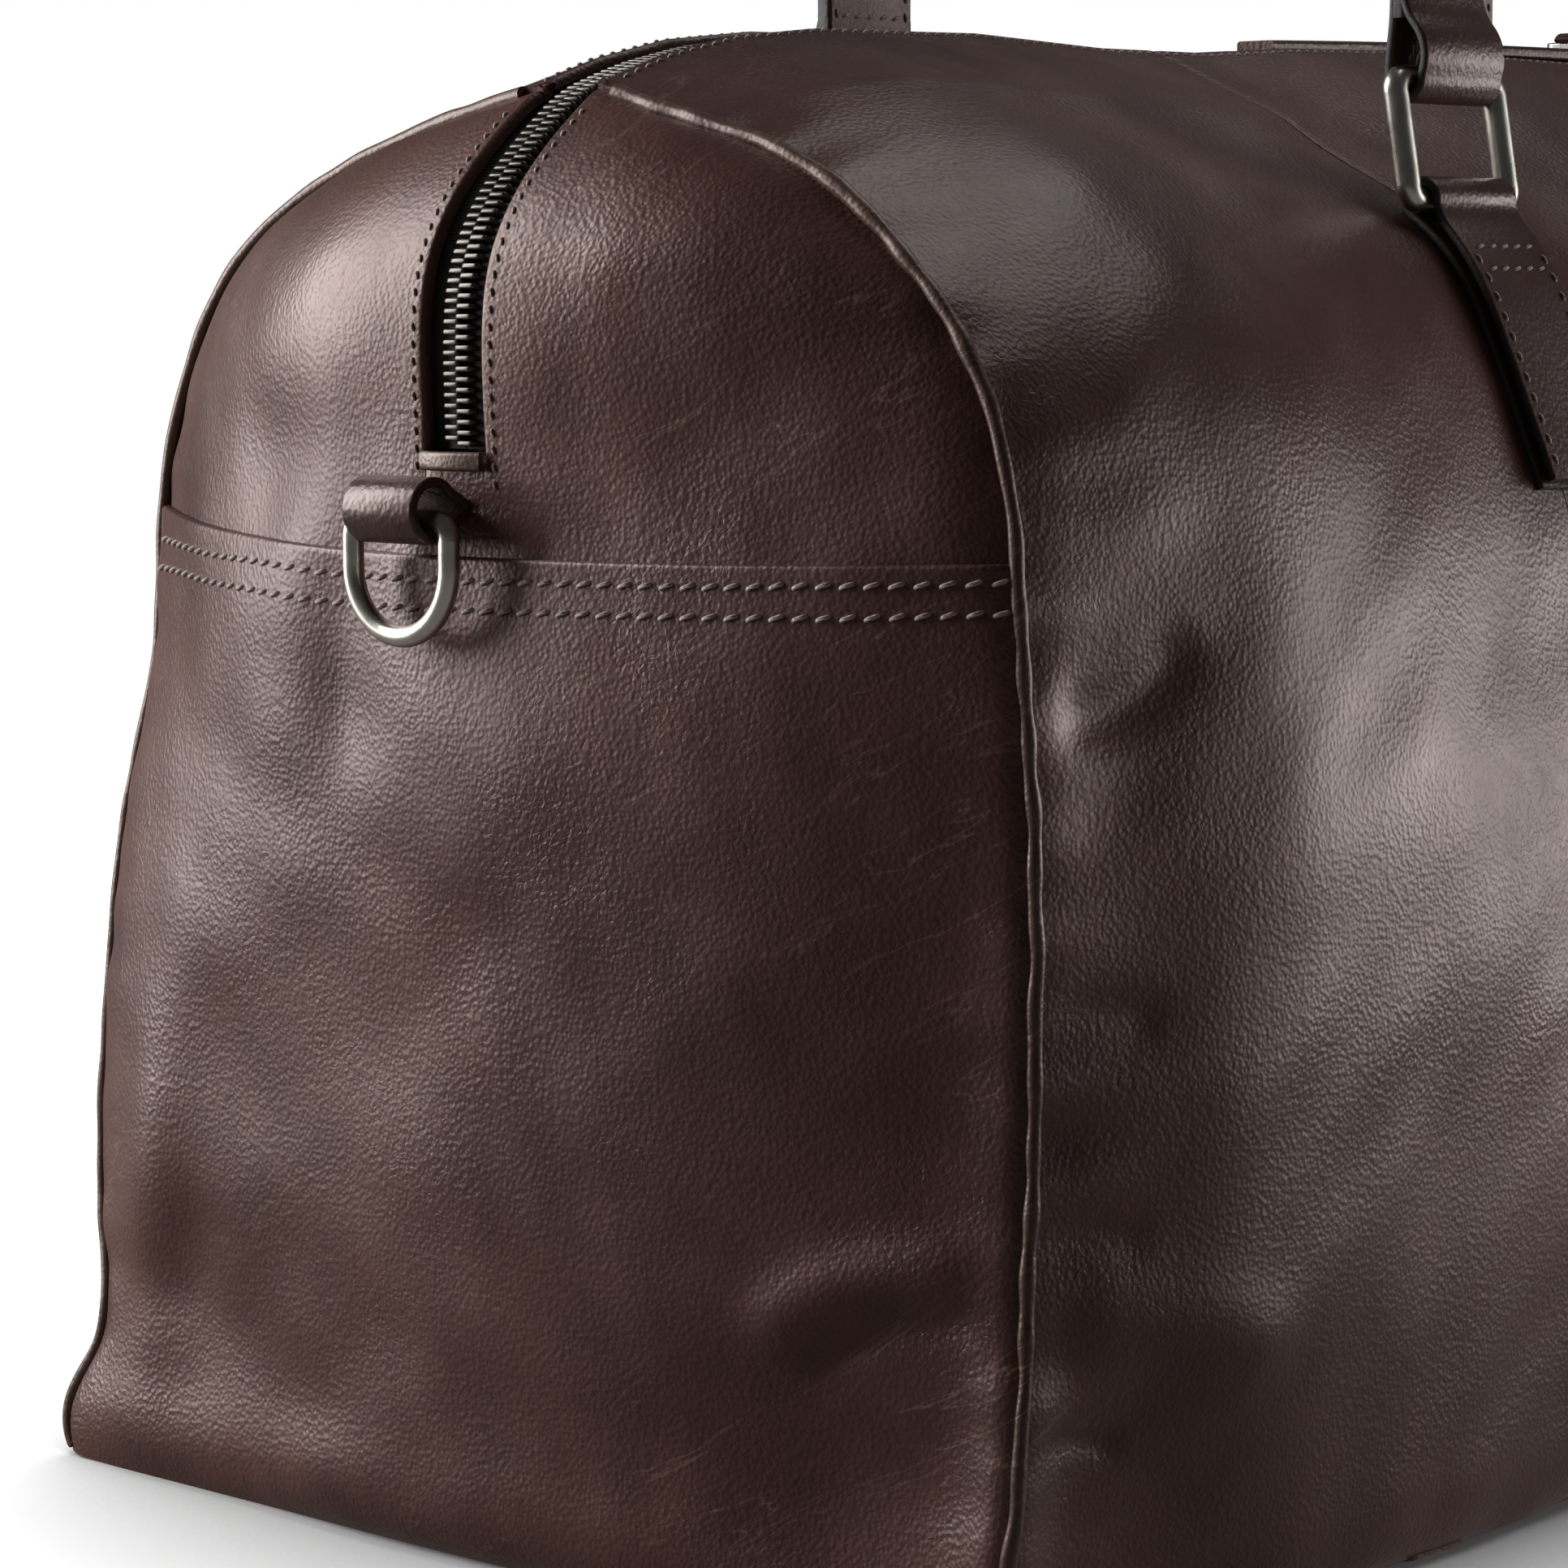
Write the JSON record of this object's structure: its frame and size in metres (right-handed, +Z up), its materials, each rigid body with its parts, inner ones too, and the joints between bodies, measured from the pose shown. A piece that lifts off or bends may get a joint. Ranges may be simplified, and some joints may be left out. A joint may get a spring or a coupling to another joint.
{
  "type": "duffel bag",
  "caption": "Leather weekend duffel bag with a domed body, zipper over the top and ends, end slip pockets, D-rings, and upright handles on wire rings and sewn tabs.",
  "frame": {"origin": "centre of the base, on the surface the bag stands on", "axes": "+X along the bag, from its left end to its right end; -Y is the front panel; +Z up"},
  "size_m": [0.6626, 0.2618, 0.4275],
  "materials": {
    "body_leather": "smooth dark brown pull-up leather, semi-matt",
    "strap_leather": "smooth dark brown leather, cut edges dyed",
    "piping_leather": "turned leather edge, worn lighter on its ridge",
    "lining_cloth": "plain woven cotton",
    "zipper_tape": "dark woven tape",
    "zipper_metal": "blackened metal, satin",
    "dark_nickel": "dark satin metal",
    "satin_nickel": "satin nickel",
    "handle_core": "cord filler",
    "stiffener_board": "hard board"
  },
  "bodies": {
    "bag": {"back_centre_panel": "body_leather", "back_left_handle_tab": "strap_leather", "back_left_panel": "body_leather", "back_lining": "lining_cloth", "back_right_handle_tab": "strap_leather", "back_right_panel": "body_leather", "base_board": "stiffener_board", "base_lining": "lining_cloth", "base_panel": "body_leather", "front_centre_panel": "body_leather", "front_left_handle_tab": "strap_leather", "front_left_panel": "body_leather", "front_lining": "lining_cloth", "front_right_handle_tab": "strap_leather", "front_right_panel": "body_leather", "left_back_piping": "piping_leather", "left_d_ring_loop": "strap_leather", "left_end_lining": "lining_cloth", "left_end_panel": "body_leather", "left_end_pocket": "body_leather", "left_front_piping": "piping_leather", "left_zipper_end_bar": "strap_leather", "right_back_piping": "piping_leather", "right_d_ring_loop": "strap_leather", "right_end_lining": "lining_cloth", "right_end_panel": "body_leather", "right_end_pocket": "body_leather", "right_front_piping": "piping_leather", "right_zipper_end_bar": "strap_leather", "zipper_chain_back": "zipper_metal", "zipper_chain_front": "zipper_metal", "zipper_tape_back": "zipper_tape", "zipper_tape_front": "zipper_tape"},
    "front_left_ring": {"front_left_ring": "satin_nickel"},
    "front_right_ring": {"front_right_ring": "satin_nickel"},
    "front_handle": {"front_handle_strap": "strap_leather", "front_handle_core": "handle_core"},
    "back_left_ring": {"back_left_ring": "satin_nickel"},
    "back_right_ring": {"back_right_ring": "satin_nickel"},
    "back_handle": {"back_handle_strap": "strap_leather", "back_handle_core": "handle_core"},
    "left_d_ring": {"left_d_ring": "satin_nickel"},
    "left_slider": {"left_slider": "dark_nickel"},
    "left_pull": {"left_pull_link": "dark_nickel", "left_pull_strap": "strap_leather"},
    "right_d_ring": {"right_d_ring": "satin_nickel"},
    "right_slider": {"right_slider": "dark_nickel"},
    "right_pull": {"right_pull_link": "dark_nickel", "right_pull_strap": "strap_leather"}
  },
  "joints": [
    {"name": "front_left_ring_hinge", "type": "hinge", "parent": "bag", "child": "front_left_ring", "pos_m": [-0.116, -0.083, 0.257], "axis": [1, 0, 0], "range_deg": [-10, 105]},
    {"name": "front_right_ring_hinge", "type": "hinge", "parent": "bag", "child": "front_right_ring", "pos_m": [0.116, -0.083, 0.257], "axis": [1, 0, 0], "range_deg": [-10, 105]},
    {"name": "front_handle_hinge", "type": "hinge", "parent": "front_left_ring", "child": "front_handle", "pos_m": [-0.116, -0.07873, 0.28123], "axis": [1, 0, 0], "range_deg": [-15, 60]},
    {"name": "back_left_ring_hinge", "type": "hinge", "parent": "bag", "child": "back_left_ring", "pos_m": [-0.116, 0.083, 0.257], "axis": [-1, 0, 0], "range_deg": [-10, 105]},
    {"name": "back_right_ring_hinge", "type": "hinge", "parent": "bag", "child": "back_right_ring", "pos_m": [0.116, 0.083, 0.257], "axis": [-1, 0, 0], "range_deg": [-10, 105]},
    {"name": "back_handle_hinge", "type": "hinge", "parent": "back_left_ring", "child": "back_handle", "pos_m": [-0.116, 0.07873, 0.28123], "axis": [-1, 0, 0], "range_deg": [-15, 60]},
    {"name": "left_d_ring_hinge", "type": "hinge", "parent": "bag", "child": "left_d_ring", "pos_m": [-0.325, 0.006, 0.1972], "axis": [0, 1, 0], "range_deg": [-8, 150]},
    {"name": "left_slider_slide", "type": "slide", "parent": "bag", "child": "left_slider", "axis": [-1, 0, 0], "range_m": [0, 0.32]},
    {"name": "left_pull_hinge", "type": "hinge", "parent": "left_slider", "child": "left_pull", "pos_m": [0.067, 0, 0.297], "axis": [0, 1, 0], "range_deg": [0, 95]},
    {"name": "right_d_ring_hinge", "type": "hinge", "parent": "bag", "child": "right_d_ring", "pos_m": [0.325, 0.006, 0.1972], "axis": [0, -1, 0], "range_deg": [-8, 150]},
    {"name": "right_slider_slide", "type": "slide", "parent": "bag", "child": "right_slider", "axis": [1, 0, 0], "range_m": [0, 0.156]},
    {"name": "right_pull_hinge", "type": "hinge", "parent": "right_slider", "child": "right_pull", "pos_m": [0.097, 0, 0.297], "axis": [0, -1, 0], "range_deg": [0, 95]}
  ],
  "couplings": [
    {"joint": "front_right_ring_hinge", "follows": "front_left_ring_hinge", "ratio": 1},
    {"joint": "back_right_ring_hinge", "follows": "back_left_ring_hinge", "ratio": 1}
  ]
}
